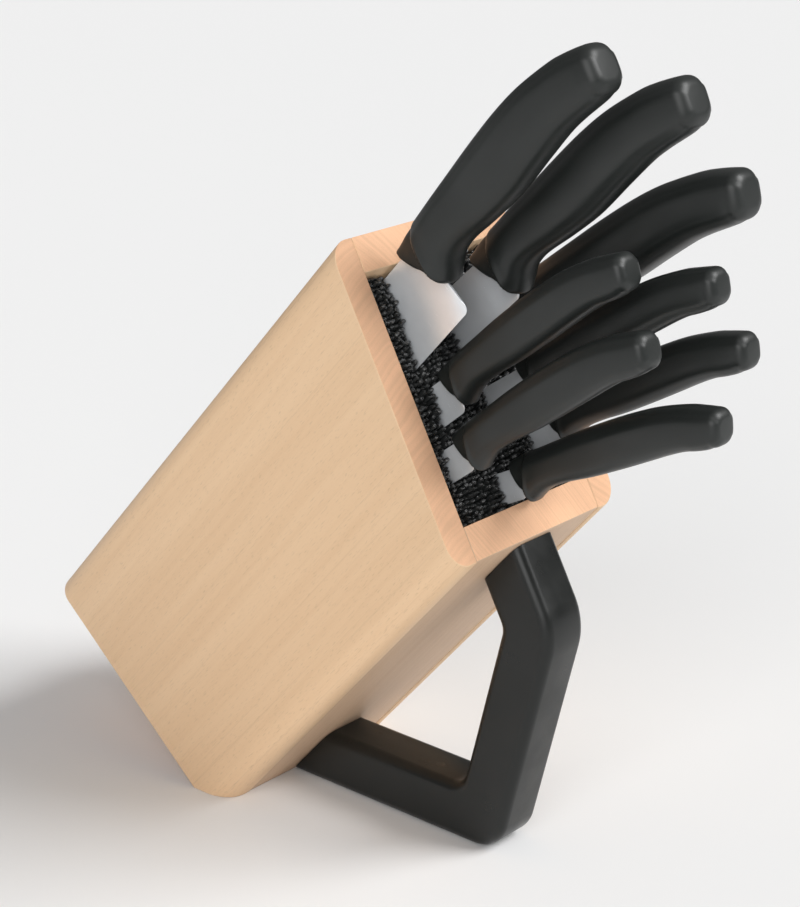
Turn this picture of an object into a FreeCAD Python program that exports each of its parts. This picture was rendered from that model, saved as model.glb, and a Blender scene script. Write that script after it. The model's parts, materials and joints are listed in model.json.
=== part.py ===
import FreeCAD, Part
import math
import os
import Sketcher

# A leaning knife block of glued boards, filled with a bundle of black filaments that takes a knife
# anywhere, held up by a moulded stand, with three large and five small knives in it.
#
# Block frame, used by every piece: "along" runs up the block's long axis from its lower end,
# "across" runs from one side face to the other and "up" runs square from the underside to the top.
# The whole block then leans back, so that its underside and the floor make the angle "lean".

doc = FreeCAD.newDocument("KnifeBlock")
sizes = doc.addObject("Spreadsheet::Sheet", "Sizes")
knife_sizes = doc.addObject("Spreadsheet::Sheet", "Knives")

BLOCK_SIZES = {
    # glued box
    "under_length": 200.0,
    "block_width": 110.0,
    "block_height": 128.0,
    "wall": 14.0,
    "edge_round": 10.0,
    "rim_slant": 20.0,
    "lean": 50.0,
    "floor_cut": 10.0,
    # filaments
    "bristle_recess": 6.0,
    "bristle_clear": 0.3,
    "slot_clear": 0.6,
    # stand
    "stand_width": 25.6,
    "stand_band": 25.0,
    "stand_reach": 114.6,
    "riser_lean": 12.4,
    "stand_setback": 2.8,
    "foot_round": 16.0,
    "bend_round": 30.0,
    "inner_round": 8.0,
    "stand_edge": 6.0,
    # screws that hold the stand
    "screw_length": 25.0,
    "screw_radius": 2.0,
    "screw_head": 4.2,
    "screw_head_depth": 2.6,
    "lower_screw_start": 16.0,
    "lower_screw_pitch": 13.0,
    "upper_screw_start": 8.0,
    "upper_screw_pitch": 9.0,
}

# Each knife: its place in the mouth as shares of the hollow's width and height, how far the front
# of its handle stands out of the rim's plane, the turn of its axis from the block's, and its blade.
KNIFE_KEYS = (
    "across", "height", "proud", "turn", "length", "deep", "heel", "belly", "tip", "drop", "thick",
)
KNIVES = {
    "chef_knife": (0.195, 0.9906, 8.95, 0.3, 200.0, 36.0, 9.0, 105.0, 17.0, 55.0, 2.0),
    "carving_knife": (0.537, 0.8459, 19.69, 5.0, 190.0, 23.5, 9.0, 70.0, 13.0, 60.0, 1.8),
    "utility_knife": (0.854, 0.7274, 6.80, 14.4, 140.0, 22.0, 8.0, 60.0, 12.0, 40.0, 1.8),
    "steak_knife_1": (0.244, 0.5443, 1.29, 8.9, 110.0, 17.0, 1.5, 40.0, 8.0, 35.0, 1.5),
    "steak_knife_2": (0.598, 0.4291, 16.81, 14.5, 110.0, 17.0, 1.5, 40.0, 8.0, 35.0, 1.5),
    "steak_knife_3": (0.171, 0.3053, 1.29, 11.4, 110.0, 14.0, 1.5, 40.0, 8.0, 35.0, 1.5),
    "tomato_knife": (0.829, 0.2690, 5.33, 17.7, 110.0, 17.0, 1.5, 25.0, 8.5, 20.0, 1.5),
    "paring_knife": (0.488, 0.1330, 1.26, 21.6, 85.0, 14.0, 1.5, 45.0, 11.0, 30.0, 1.5),
}
LARGE_KNIVES = ("chef_knife", "carving_knife", "utility_knife")

HANDLE_SIZES = {
    "large_length": 129.0,
    "large_half": 11.2,
    "large_tang_top": 3.0,
    "large_tang_low": 10.5,
    "small_length": 107.0,
    "small_half": 8.5,
    "small_tang_top": 2.0,
    "small_tang_low": 6.2,
    "spine_step": 1.0,
    "tang_share": 0.62,
}

# Side view of a handle, front to butt: a point of its back (x, z) and one of its belly (x, z), all
# as shares of its length, and the half thickness there as a share of the greatest.
HANDLE_ROWS = {
    "large": (
        (-0.004, 0.020, 0.040, -0.097, 0.46),
        (0.023, 0.025, 0.064, -0.157, 0.54),
        (0.062, 0.033, 0.090, -0.183, 0.71),
        (0.109, 0.035, 0.122, -0.167, 0.88),
        (0.163, 0.037, 0.161, -0.141, 0.95),
        (0.233, 0.042, 0.225, -0.133, 0.93),
        (0.341, 0.049, 0.341, -0.147, 0.92),
        (0.465, 0.057, 0.465, -0.155, 0.96),
        (0.605, 0.060, 0.605, -0.147, 1.00),
        (0.721, 0.053, 0.721, -0.143, 1.00),
        (0.845, 0.030, 0.787, -0.147, 0.98),
        (0.899, 0.013, 0.837, -0.154, 0.96),
        (0.938, -0.002, 0.882, -0.160, 0.93),
        (0.963, -0.014, 0.910, -0.160, 0.86),
        (0.992, -0.036, 0.944, -0.150, 0.64),
    ),
    "small": (
        (-0.002, 0.021, 0.022, -0.103, 0.52),
        (0.028, 0.027, 0.047, -0.149, 0.59),
        (0.061, 0.032, 0.071, -0.144, 0.71),
        (0.103, 0.035, 0.107, -0.130, 0.85),
        (0.159, 0.037, 0.159, -0.118, 0.93),
        (0.243, 0.042, 0.243, -0.119, 0.93),
        (0.355, 0.049, 0.355, -0.128, 0.94),
        (0.486, 0.051, 0.486, -0.133, 0.98),
        (0.617, 0.049, 0.617, -0.135, 1.00),
        (0.729, 0.039, 0.715, -0.136, 1.00),
        (0.846, 0.016, 0.790, -0.140, 0.98),
        (0.900, -0.002, 0.841, -0.150, 0.96),
        (0.938, -0.016, 0.884, -0.157, 0.93),
        (0.963, -0.025, 0.912, -0.156, 0.86),
        (0.991, -0.040, 0.943, -0.144, 0.64),
    ),
}


def fill_sheet(sheet, values):
    """Write each value in a row of its own and name its cell."""
    for row, (alias, value) in enumerate(values.items(), start=1):
        sheet.set("A%d" % row, alias)
        sheet.set("B%d" % row, repr(value))
        sheet.setAlias("B%d" % row, alias)


fill_sheet(sizes, BLOCK_SIZES)
knife_values = dict(HANDLE_SIZES)
for knife, row_values in KNIVES.items():
    for key, value in zip(KNIFE_KEYS, row_values):
        knife_values["%s_%s" % (knife, key)] = value
fill_sheet(knife_sizes, knife_values)
doc.recompute()


def worked(text):
    """Value of an expression on the sheets, as a plain number."""
    result = sizes.evalExpression(text)
    return float(getattr(result, "Value", result))


# Expressions that several pieces share. The slant and the lean are in degrees.
SLANT = "tan(Sizes.rim_slant * 1deg)"
HOLLOW_WIDTH = "(Sizes.block_width - 2 * Sizes.wall)"
HOLLOW_HEIGHT = "(Sizes.block_height - 2 * Sizes.wall)"
RECESS = "Sizes.bristle_recess / cos(Sizes.rim_slant * 1deg)"
CUT_ALONG = "(Sizes.floor_cut / sin(Sizes.lean * 1deg))"
CUT_UP = "(Sizes.floor_cut / cos(Sizes.lean * 1deg))"


def rim_at(up):
    """How far along the block the rim's plane lies at a height above the underside."""
    return "(Sizes.under_length + %s * (%s))" % (SLANT, up)


lean = worked("Sizes.lean")
floor_cut = worked("Sizes.floor_cut")
heel_run = worked("Sizes.floor_cut / tan(Sizes.lean * 1deg)")
origin_run = heel_run + worked("Sizes.stand_reach") / 2.0
half_width = worked("Sizes.block_width") / 2.0
Y_AXIS = FreeCAD.Vector(0, 1, 0)


def on_block(along=0.0, across=half_width, up=0.0, turn=0.0):
    """Placement of a piece drawn about its own middle plane, in the leaning block's frame."""
    tilt = FreeCAD.Rotation(Y_AXIS, -lean)
    place = tilt.multVec(FreeCAD.Vector(along, across - half_width, up))
    place = place + FreeCAD.Vector(-origin_run, 0, -floor_cut)
    return FreeCAD.Placement(place, FreeCAD.Rotation(Y_AXIS, turn - lean))


def new_body(name):
    body = doc.addObject("PartDesign::Body", name)
    body.Label = name
    return body


def side_view_sketch(body, name):
    """Empty sketch on the body's XZ plane: sketch x is the piece's X, sketch y its Z."""
    sketch = body.newObject("Sketcher::SketchObject", name)
    plane = [item for item in body.Origin.OriginFeatures if item.Role == "XZ_Plane"][0]
    sketch.AttachmentSupport = [(plane, "")]
    sketch.MapMode = "FlatFace"
    return sketch


def pin_point(sketch, geometry, position, x_text, y_text):
    """Hold a point of the sketch at two expressions, measured from the sketch's origin."""
    for kind, text in (("DistanceX", x_text), ("DistanceY", y_text)):
        index = sketch.addConstraint(
            Sketcher.Constraint(kind, -1, 1, geometry, position, worked(text))
        )
        sketch.setExpression("Constraints[%d]" % index, text)


def level_arc(start, end, centre_x):
    """Arc from start to end whose centre is at centre_x, and whether it is drawn start first."""
    level, free = (start, end) if abs(start.x - centre_x) < 1e-6 else (end, start)
    rise = free.y - level.y
    radius = ((free.x - level.x) ** 2 + rise ** 2) / (2.0 * rise)
    centre = FreeCAD.Vector(centre_x, level.y + radius, 0)
    circle = Part.Circle(centre, FreeCAD.Vector(0, 0, 1), abs(radius))
    first = math.atan2(start.y - centre.y, start.x - centre.x)
    last = math.atan2(end.y - centre.y, end.x - centre.x)
    start_first = (last - first) % (2.0 * math.pi) < math.pi
    span = (first, last) if start_first else (last, first)
    return Part.ArcOfCircle(circle, *span), start_first


def draw_outline(sketch, steps):
    """Closed outline. Each step is a corner (x, y), or (x, y, centre_x) where an arc starts that
    is level with the sketch's x axis at centre_x and runs to the next corner."""
    points = [FreeCAD.Vector(worked(step[0]), worked(step[1]), 0) for step in steps]
    ends = []
    for index, step in enumerate(steps):
        start = points[index]
        end = points[(index + 1) % len(steps)]
        start_first = True
        edge = Part.LineSegment(start, end)
        if len(step) == 3:
            edge, start_first = level_arc(start, end, worked(step[2]))
        sketch.addGeometry(edge, False)
        ends.append((1, 2) if start_first else (2, 1))
    for index, step in enumerate(steps):
        following = (index + 1) % len(steps)
        joined = Sketcher.Constraint(
            "Coincident", index, ends[index][1], following, ends[following][0]
        )
        sketch.addConstraint(joined)
        pin_point(sketch, index, ends[index][0], step[0], step[1])
        if len(step) == 3:
            centred = Sketcher.Constraint("DistanceX", -1, 1, index, 3, worked(step[2]))
            number = sketch.addConstraint(centred)
            sketch.setExpression("Constraints[%d]" % number, step[2])


def pad_both_ways(body, sketch, thickness):
    """Solid of a side-view sketch, half its thickness each side of the sketch."""
    pad = body.newObject("PartDesign::Pad", body.Name + "_pad")
    pad.Profile = sketch
    pad.Midplane = True
    pad.setExpression("Length", thickness)
    doc.recompute()
    return pad


def slab(name, steps, thickness):
    """Body that is one outline, padded about its middle plane."""
    body = new_body(name)
    sketch = side_view_sketch(body, name + "_outline")
    draw_outline(sketch, steps)
    pad_both_ways(body, sketch, thickness)
    return body


def cut_at_floor(body):
    """Take off the corner of a board that would reach below the floor."""
    sketch = side_view_sketch(body, body.Name + "_floor_line")
    far = "(2 * Sizes.block_height)"
    rise = "(%s * tan(Sizes.lean * 1deg))" % far
    draw_outline(
        sketch,
        [
            ("-" + far, CUT_UP + " + " + rise),
            ("-" + far, "-" + rise),
            (CUT_ALONG + " + " + far, "-" + rise),
        ],
    )
    before = body.Shape.Volume
    pocket = body.newObject("PartDesign::Pocket", body.Name + "_floor_cut")
    pocket.Profile = sketch
    pocket.Midplane = True
    pocket.setExpression("Length", "3 * Sizes.block_width")
    doc.recompute()
    if body.Shape.Volume >= before:
        raise RuntimeError("the floor cut takes nothing off " + body.Name)


def round_edges(body, name, radius, chosen):
    """Fillet the edges of the body's tip that the test picks."""
    tip = body.Tip
    picked = [
        "Edge%d" % number
        for number, edge in enumerate(tip.Shape.Edges, start=1)
        if chosen(edge)
    ]
    if not picked:
        raise RuntimeError("no edge to round on " + body.Name)
    fillet = body.newObject("PartDesign::Fillet", name)
    fillet.Base = (tip, picked)
    fillet.setExpression("Radius", radius)
    body.Tip = fillet
    doc.recompute()
    return fillet


def ends_of(edge):
    return edge.Vertexes[0].Point, edge.Vertexes[-1].Point


def runs_along(edge, at_up):
    """Whether an edge runs the length of the block at a height above the underside."""
    start, end = ends_of(edge)
    level = abs(start.z - at_up) < 1e-3 and abs(end.z - at_up) < 1e-3
    return level and abs(end.x - start.x) > worked("Sizes.wall") * 2


def side_panel(name, outer):
    """Full-height side board. outer is -1 or 1: the side that its rounded edges are on."""
    height = "Sizes.block_height"
    body = slab(
        name,
        [("0", "0"), ("Sizes.under_length", "0"), (rim_at(height), height), ("0", height)],
        "Sizes.wall",
    )
    outside = outer * worked("Sizes.wall") / 2.0
    top = worked(height)

    def outer_long_edge(edge):
        start, end = ends_of(edge)
        on_face = abs(start.y - outside) < 1e-3 and abs(end.y - outside) < 1e-3
        return on_face and (runs_along(edge, 0.0) or runs_along(edge, top))

    round_edges(body, name + "_long_edges", "Sizes.edge_round", outer_long_edge)
    cut_at_floor(body)
    middle = worked("Sizes.wall / 2")
    across = middle if outer < 0 else 2 * half_width - middle
    body.Placement = on_block(across=across)
    return body


def cross_panel(name, low, high):
    """Board between the two side panels, from one height to another, open end to lower end."""
    body = slab(
        name, [("0", low), (rim_at(low), low), (rim_at(high), high), ("0", high)], HOLLOW_WIDTH
    )
    body.Placement = on_block()
    return body


def end_panel(name):
    """Board that closes the lower end, between the other four."""
    top = "Sizes.block_height - Sizes.wall"
    body = slab(
        name,
        [("0", "Sizes.wall"), ("Sizes.wall", "Sizes.wall"), ("Sizes.wall", top), ("0", top)],
        HOLLOW_WIDTH,
    )
    if worked(CUT_UP) > worked("Sizes.wall"):
        cut_at_floor(body)
    body.Placement = on_block()
    return body


def screw_places():
    """Distance along the block of each screw: two in each end of the stand."""
    lower = worked(CUT_ALONG + " + Sizes.lower_screw_start")
    upper = worked(rim_at("0") + " - Sizes.stand_setback - Sizes.upper_screw_start")
    return (
        lower,
        lower + worked("Sizes.lower_screw_pitch"),
        upper - worked("Sizes.upper_screw_pitch"),
        upper,
    )


def screw_group(name):
    """Four countersunk screws, heads level with the hollow's floor, driven into the stand."""
    screws = []
    for number, along in enumerate(screw_places(), start=1):
        shank = doc.addObject("Part::Cylinder", "%s_shank_%d" % (name, number))
        shank.setExpression("Radius", "Sizes.screw_radius")
        shank.setExpression("Height", "Sizes.screw_length")
        head = doc.addObject("Part::Cone", "%s_head_%d" % (name, number))
        head.setExpression("Radius1", "Sizes.screw_radius")
        head.setExpression("Radius2", "Sizes.screw_head")
        head.setExpression("Height", "Sizes.screw_head_depth")
        top = worked("Sizes.wall")
        shank.Placement = on_block(along=along, up=top - worked("Sizes.screw_length"))
        head.Placement = on_block(along=along, up=top - worked("Sizes.screw_head_depth"))
        screw = doc.addObject("Part::MultiFuse", "%s_%d" % (name, number))
        screw.Shapes = [shank, head]
        screws.append(screw)
    group = doc.addObject("Part::Compound", name)
    group.Links = screws
    return group


def cut_from(name, base, tool):
    """Piece that is one shape with another taken out of it."""
    piece = doc.addObject("Part::Cut", name)
    piece.Base = base
    piece.Tool = tool
    doc.recompute()
    if piece.Shape.Volume >= base.Shape.Volume:
        raise RuntimeError("nothing is cut from " + name)
    return piece


def stand_steps():
    """Outline of the stand in the standing frame: X along the floor from the block's heel, Z up.
    It lies flat from the heel to its toe, rises, bends back and meets the underside near the rim,
    parallel to the rim's plane. It runs on into the block, whose underside plane trims it."""
    band = "Sizes.stand_band"
    riser = "Sizes.riser_lean * 1deg"
    arm = "(Sizes.lean - Sizes.rim_slant) * 1deg"
    reach = "Sizes.stand_reach"
    # A point of the top arm's outer face, on the underside.
    top_along = "(%s - %s - Sizes.stand_setback / cos(Sizes.rim_slant * 1deg))" % (
        "Sizes.under_length",
        CUT_ALONG,
    )
    top_x = "(%s * cos(Sizes.lean * 1deg))" % top_along
    top_z = "(%s * sin(Sizes.lean * 1deg))" % top_along

    def meeting(foot_x, foot_z, arm_x):
        """Where a riser line from a foot point meets a top-arm line that crosses top_z at arm_x."""
        height = "((%s - %s + %s * tan(%s) + %s * tan(%s)) / (tan(%s) + tan(%s)))" % (
            arm_x, foot_x, top_z, arm, foot_z, riser, riser, arm,
        )
        return "(%s + (%s - %s) * tan(%s))" % (foot_x, height, foot_z, riser), height

    inner_foot_x = "(%s + %s * tan(%s) - %s / cos(%s))" % (reach, band, riser, band, riser)
    inner_top_x = "(%s - %s / cos(%s))" % (top_x, band, arm)
    bend = meeting(reach, "0", top_x)
    inner_bend = meeting(inner_foot_x, band, inner_top_x)
    over = "(3 * %s)" % band
    past_x = "(%s - %s * sin(%s))" % (top_x, over, arm)
    past_z = "(%s + %s * cos(%s))" % (top_z, over, arm)
    inner_past_x = "(%s - %s * sin(%s))" % (inner_top_x, over, arm)
    return [
        ("-" + over, "0"),
        (reach, "0"),
        bend,
        (past_x, past_z),
        (inner_past_x, past_z),
        inner_bend,
        (inner_foot_x, band),
        ("-" + over, band),
    ]


def upright_edges_at(edge, spot):
    """Whether an edge of the padded stand runs across it through a point of its side view."""
    start, end = ends_of(edge)
    across = abs(start.x - end.x) < 1e-3 and abs(start.z - end.z) < 1e-3
    return across and abs(start.x - spot[0]) < 1e-3 and abs(start.z - spot[1]) < 1e-3


def stand_body(name):
    """Moulded stand, rounded at its toe and bend, its long edges softened all round."""
    body = new_body(name)
    sketch = side_view_sketch(body, name + "_outline")
    steps = stand_steps()
    draw_outline(sketch, steps)
    pad_both_ways(body, sketch, "Sizes.stand_width")
    spots = [(worked(step[0]), worked(step[1])) for step in steps]
    for title, number, radius in (
        ("toe", 1, "Sizes.foot_round"),
        ("bend", 2, "Sizes.bend_round"),
        ("inner_bend", 5, "Sizes.inner_round"),
        ("inner_foot", 6, "Sizes.inner_round"),
    ):
        spot = spots[number]
        round_edges(
            body, "%s_%s" % (name, title), radius, lambda edge: upright_edges_at(edge, spot)
        )
    side = worked("Sizes.stand_width") / 2.0

    def outline_edge(edge):
        low, high = edge.BoundBox.YMin, edge.BoundBox.YMax
        return high - low < 1e-3 and abs(abs(low) - side) < 1e-3 and edge.Length > 1.0

    round_edges(body, name + "_soft_edges", "Sizes.stand_edge", outline_edge)
    # Trim everything that is above the underside's plane.
    trim = side_view_sketch(body, name + "_underside_line")
    far = "(4 * Sizes.under_length)"
    draw_outline(
        trim,
        [
            ("-" + far + " * cos(Sizes.lean * 1deg)", "-" + far + " * sin(Sizes.lean * 1deg)"),
            (far + " * cos(Sizes.lean * 1deg)", far + " * sin(Sizes.lean * 1deg)"),
            ("-" + far, far),
        ],
    )
    before = body.Shape.Volume
    pocket = body.newObject("PartDesign::Pocket", name + "_underside_trim")
    pocket.Profile = trim
    pocket.Midplane = True
    pocket.setExpression("Length", "3 * Sizes.block_width")
    doc.recompute()
    if not 0 < body.Shape.Volume < before:
        raise RuntimeError("the underside does not trim the stand")
    body.Placement = FreeCAD.Placement(
        FreeCAD.Vector(heel_run - origin_run, 0, 0), FreeCAD.Rotation()
    )
    return body


def knife(name, key):
    """One of a knife's own numbers, as an expression."""
    return "Knives.%s_%s" % (name, key)


def handle_size(name, key):
    kind = "large" if name in LARGE_KNIVES else "small"
    return "Knives.%s_%s" % (kind, key)


def knife_placement(name):
    """Frame of a knife: x out of the block along its axis, z towards its spine, origin at the top
    of its handle's front."""
    up = worked("Sizes.wall + %s * %s" % (knife(name, "height"), HOLLOW_HEIGHT))
    across = worked("Sizes.wall + %s * %s" % (knife(name, "across"), HOLLOW_WIDTH))
    along = worked(rim_at(repr(up)) + " + " + knife(name, "proud"))
    return on_block(along, across, up, worked(knife(name, "turn")))


def blade_body(name, title):
    """Flat blade with its tang: straight spine that drops to the point, edge with a belly, and a
    square heel that the handle's front closes over."""
    spine = "-Knives.spine_step"
    deep = "-(%s)" % knife(name, "deep")
    length = knife(name, "length")
    tip = ("-" + length, "-%s" % knife(name, "tip"))
    drop_x = "-(%s - %s)" % (length, knife(name, "drop"))
    belly_x = "-(%s - %s)" % (length, knife(name, "belly"))
    back = "Knives.spine_step * 2"
    tang_x = "%s * Knives.tang_share" % handle_size(name, "length")
    tang_top = "-" + handle_size(name, "tang_top")
    tang_low = "-" + handle_size(name, "tang_low")
    body = slab(
        title,
        [
            (back, spine),
            (drop_x, spine, drop_x),
            (tip[0], tip[1], belly_x),
            (belly_x, deep),
            (knife(name, "heel"), deep),
            (knife(name, "heel"), tang_low),
            (tang_x, tang_low),
            (tang_x, tang_top),
            (back, tang_top),
        ],
        knife(name, "thick"),
    )
    return body


def handle_station(row, name):
    """Closed rounded section of a handle, through a point of its back and one of its belly."""
    length = worked(handle_size(name, "length"))
    back = FreeCAD.Vector(row[0] * length, 0, row[1] * length)
    belly = FreeCAD.Vector(row[2] * length, 0, row[3] * length)
    wide = row[4] * worked(handle_size(name, "half"))
    middle = (back + belly) * 0.5
    tall = (back - belly) * 0.5
    squareness = 2.0 / 2.6
    points = []
    for number in range(16):
        angle = 2.0 * math.pi * number / 16
        side = math.copysign(abs(math.cos(angle)) ** squareness, math.cos(angle)) * wide
        rise = math.copysign(abs(math.sin(angle)) ** squareness, math.sin(angle))
        points.append(middle + tall * rise + FreeCAD.Vector(0, side, 0))
    section = Part.BSplineCurve()
    section.interpolate(points, PeriodicFlag=True)
    return Part.Wire([section.toShape()])


def handle_piece(name, blade, title):
    """Moulded handle: rounded sections along its length, with the blade's seat taken out."""
    kind = "large" if name in LARGE_KNIVES else "small"
    sections = [handle_station(row, name) for row in HANDLE_ROWS[kind]]
    solid = Part.makeLoft(sections, True, False)
    seated = solid.cut(blade.Shape.copy())
    if seated.Volume >= solid.Volume:
        raise RuntimeError("no seat is cut for the blade of " + name)
    piece = doc.addObject("Part::Feature", title)
    piece.Shape = seated
    piece.Placement = knife_placement(name)
    return piece


def slot_box(name):
    """Clearance for one blade in the filaments, straight along the knife's axis."""
    box = doc.addObject("Part::Box", name + "_slot")
    clear = "Sizes.slot_clear"
    inside = "(%s + %s)" % (knife(name, "length"), clear)
    box.setExpression("Length", "2 * " + inside)
    box.setExpression("Width", "%s + 2 * %s" % (knife(name, "thick"), clear))
    box.setExpression("Height", "%s - Knives.spine_step + 2 * %s" % (knife(name, "deep"), clear))
    corner = FreeCAD.Vector(
        -worked(inside),
        -worked("%s / 2 + %s" % (knife(name, "thick"), clear)),
        -worked("%s + %s" % (knife(name, "deep"), clear)),
    )
    box.Placement = knife_placement(name).multiply(
        FreeCAD.Placement(corner, FreeCAD.Rotation())
    )
    return box


def bristle_bundle(name):
    """The bundle of filaments as one block, short of the rim, with a clearance for each blade."""
    clear = "Sizes.bristle_clear"
    low = "(Sizes.wall + %s)" % clear
    high = "(Sizes.block_height - Sizes.wall - %s)" % clear
    body = slab(
        name + "_block",
        [
            ("Sizes.wall", low),
            (rim_at(low) + " - " + RECESS, low),
            (rim_at(high) + " - " + RECESS, high),
            ("Sizes.wall", high),
        ],
        "%s - 2 * %s" % (HOLLOW_WIDTH, clear),
    )
    body.Placement = on_block()
    slots = doc.addObject("Part::Compound", name + "_slots")
    slots.Links = [slot_box(title) for title in KNIVES]
    doc.recompute()
    return cut_from(name, body, slots)


pieces = []
pieces.append(side_panel("side_panel_near", -1))
pieces.append(side_panel("side_panel_far", 1))
pieces.append(
    cross_panel("top_panel", "Sizes.block_height - Sizes.wall", "Sizes.block_height")
)
pieces.append(end_panel("end_panel"))

screws = screw_group("stand_screws")
underside = cross_panel("underside_board", "0", "Sizes.wall")
cut_at_floor(underside)
doc.recompute()
pieces.append(cut_from("underside_panel", underside, screws))
pieces.append(cut_from("stand", stand_body("stand_moulding"), screws))
pieces.append(screws)
pieces.append(bristle_bundle("bristle_bundle"))

for title in KNIVES:
    blade = blade_body(title, title + "_blade")
    doc.recompute()
    pieces.append(handle_piece(title, blade, title + "_handle"))
    blade.Placement = knife_placement(title)
    pieces.append(blade)

for piece in pieces:
    piece.Label = piece.Name
doc.recompute()

for item in doc.Objects:
    if "Invalid" in item.State or "Error" in item.State:
        raise RuntimeError("%s did not build: %s" % (item.Name, item.State))
for piece in pieces:
    if piece.Shape.isNull() or not piece.Shape.isValid():
        raise RuntimeError("%s has no valid shape" % piece.Name)

os.makedirs("parts", exist_ok=True)
for piece in pieces:
    piece.Shape.exportStep("parts/%s.step" % piece.Name)
print("wrote", len(pieces), "parts")
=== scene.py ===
"""Looks of a leaning beech knife block: boards, filaments, stand, knives, stage and light."""

import json
import math
import random

import bmesh
import bpy
from mathutils import Matrix, Vector, noise


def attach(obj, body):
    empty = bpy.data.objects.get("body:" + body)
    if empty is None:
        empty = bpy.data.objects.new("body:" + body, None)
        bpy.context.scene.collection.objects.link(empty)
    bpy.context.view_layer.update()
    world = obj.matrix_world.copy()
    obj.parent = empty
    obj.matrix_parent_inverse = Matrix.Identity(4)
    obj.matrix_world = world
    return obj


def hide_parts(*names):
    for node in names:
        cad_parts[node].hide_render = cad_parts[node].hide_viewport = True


bl_info = {
    "name": "Knife block with knives",
    "version": (1, 0, 0),
    "blender": (4, 5, 0),
    "location": "3D View > Sidebar > Knife block",
    "description": "Builds a leaning beech knife block packed with filaments, with eight knives",
    "category": "Object",
}

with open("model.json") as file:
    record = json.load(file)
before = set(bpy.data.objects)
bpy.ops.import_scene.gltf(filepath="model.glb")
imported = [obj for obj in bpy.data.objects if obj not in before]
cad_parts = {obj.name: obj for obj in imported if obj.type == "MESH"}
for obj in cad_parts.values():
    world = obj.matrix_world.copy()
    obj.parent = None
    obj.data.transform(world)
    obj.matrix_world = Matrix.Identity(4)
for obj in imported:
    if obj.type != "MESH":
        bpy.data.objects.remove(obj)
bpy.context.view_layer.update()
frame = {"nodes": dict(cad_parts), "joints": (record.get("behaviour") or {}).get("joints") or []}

MM = 0.001
FLAT = 1e-6

# Camera: place in metres, turn in degrees, lens and sensor in millimetres.
CAMERA_PLACE = (0.58367, -0.73434, 0.50043)
CAMERA_TURN = (70.1372, -1.6036, 39.573)
LENS = 107.985
SENSOR_WIDTH = 36.0

# Each lamp: bearing from +X towards +Y and height in degrees, its softness, its strength.
LAMPS = (
    ("high_light", 34.0, 43.0, 34.0, 2.74),
    ("front_light", -62.0, 26.0, 45.0, 1.40),
)
# The sky's strength, from its first value at the first height to its second at the second.
SKY_HEIGHTS = (-0.1, 0.9)
SKY_STRENGTHS = (0.10, 0.30)
FLOOR_HALF = 12.0

# Knives, in millimetres: name, kind of handle, where the handle meets the blade's spine (across
# from the near side, along and up from the underside), then the blade's length, depth, heel in
# front of the handle, belly, height of the tip below the spine, drop of the spine, thickness.
KNIVES = (
    ("chef_knife", "large", 30.0, 250.10, 113.06, 200.0, 36.0, 9.0, 105.0, 17.0, 55.0, 2.0),
    ("carving_knife", "large", 58.0, 255.57, 98.59, 190.0, 23.5, 9.0, 70.0, 13.0, 60.0, 1.8),
    ("utility_knife", "large", 84.0, 238.37, 86.74, 140.0, 22.0, 8.0, 60.0, 12.0, 40.0, 1.8),
    ("steak_knife_1", "small", 34.0, 226.20, 68.43, 110.0, 17.0, 1.5, 40.0, 8.0, 35.0, 1.5),
    ("steak_knife_2", "small", 63.0, 237.52, 56.91, 110.0, 17.0, 1.5, 40.0, 8.0, 35.0, 1.5),
    ("steak_knife_3", "small", 28.0, 217.50, 44.53, 110.0, 14.0, 1.5, 40.0, 8.0, 35.0, 1.5),
    ("tomato_knife", "small", 82.0, 220.22, 40.90, 110.0, 17.0, 1.5, 25.0, 8.5, 20.0, 1.5),
    ("paring_knife", "small", 54.0, 211.20, 27.30, 85.0, 14.0, 1.5, 45.0, 11.0, 30.0, 1.5),
)


def length_prop(name, value, description):
    return bpy.props.FloatProperty(
        name=name, description=description, default=value * MM, min=0.0, unit="LENGTH"
    )


def colour_prop(name, value, description):
    return bpy.props.FloatVectorProperty(
        name=name, description=description, default=value, size=3, min=0.0, max=1.0,
        subtype="COLOR",
    )


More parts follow.
